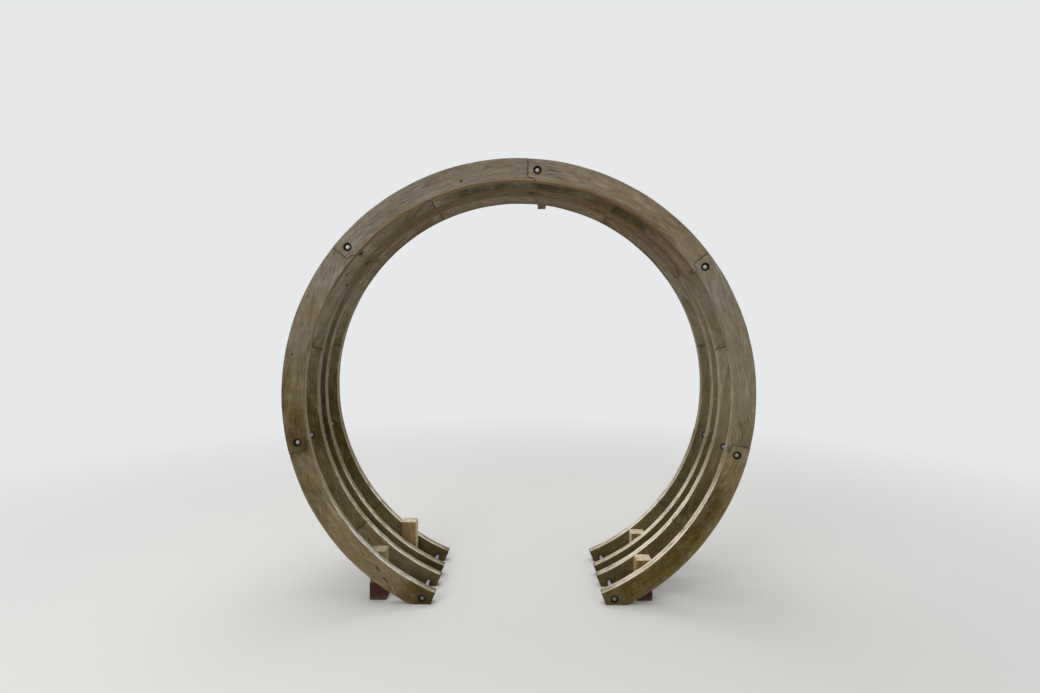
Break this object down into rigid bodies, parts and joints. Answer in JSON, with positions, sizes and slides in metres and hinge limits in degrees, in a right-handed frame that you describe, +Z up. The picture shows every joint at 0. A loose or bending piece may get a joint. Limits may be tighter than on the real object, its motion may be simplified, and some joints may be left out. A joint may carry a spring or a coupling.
{
  "type": "moon gate",
  "caption": "Round timber garden gateway of parallel laminated rings, open at the ground, tied by threaded rods and spacer tubes, on short posts in steel sockets",
  "frame": {"origin": "at floor level, midway between the two sides and midway through the depth", "axes": "+X to the right seen from the front, +Y through the gate from front to back, +Z up"},
  "size_m": [2.1999, 0.555, 2.0749],
  "materials": {
    "ring_timber": "weathered",
    "post_timber": "weathered",
    "socket_paint": "matte",
    "pad_rubber": "matte",
    "galvanised_steel": "satin"
  },
  "bodies": {
    "root": {"crown_block": "galvanised_steel", "nuts_front": "galvanised_steel", "nuts_rear": "galvanised_steel", "post_front_left": "post_timber", "post_front_right": "post_timber", "post_rear_left": "post_timber", "post_rear_right": "post_timber", "ring1_front_boards_a": "ring_timber", "ring1_front_boards_b": "ring_timber", "ring1_rear_boards_a": "ring_timber", "ring1_rear_boards_b": "ring_timber", "ring2_front_boards_a": "ring_timber", "ring2_front_boards_b": "ring_timber", "ring2_rear_boards_a": "ring_timber", "ring2_rear_boards_b": "ring_timber", "ring3_front_boards_a": "ring_timber", "ring3_front_boards_b": "ring_timber", "ring3_rear_boards_a": "ring_timber", "ring3_rear_boards_b": "ring_timber", "ring4_front_boards_a": "ring_timber", "ring4_front_boards_b": "ring_timber", "ring4_rear_boards_a": "ring_timber", "ring4_rear_boards_b": "ring_timber", "socket_front_left": "socket_paint", "socket_front_right": "socket_paint", "socket_rear_left": "socket_paint", "socket_rear_right": "socket_paint", "spacer_tubes_front": "galvanised_steel", "spacer_tubes_middle": "galvanised_steel", "spacer_tubes_rear": "galvanised_steel", "tie_rod_1": "galvanised_steel", "tie_rod_2": "galvanised_steel", "tie_rod_3": "galvanised_steel", "tie_rod_4": "galvanised_steel", "tie_rod_5": "galvanised_steel", "tie_rod_6": "galvanised_steel", "tie_rod_7": "galvanised_steel"}
  },
  "joints": []
}
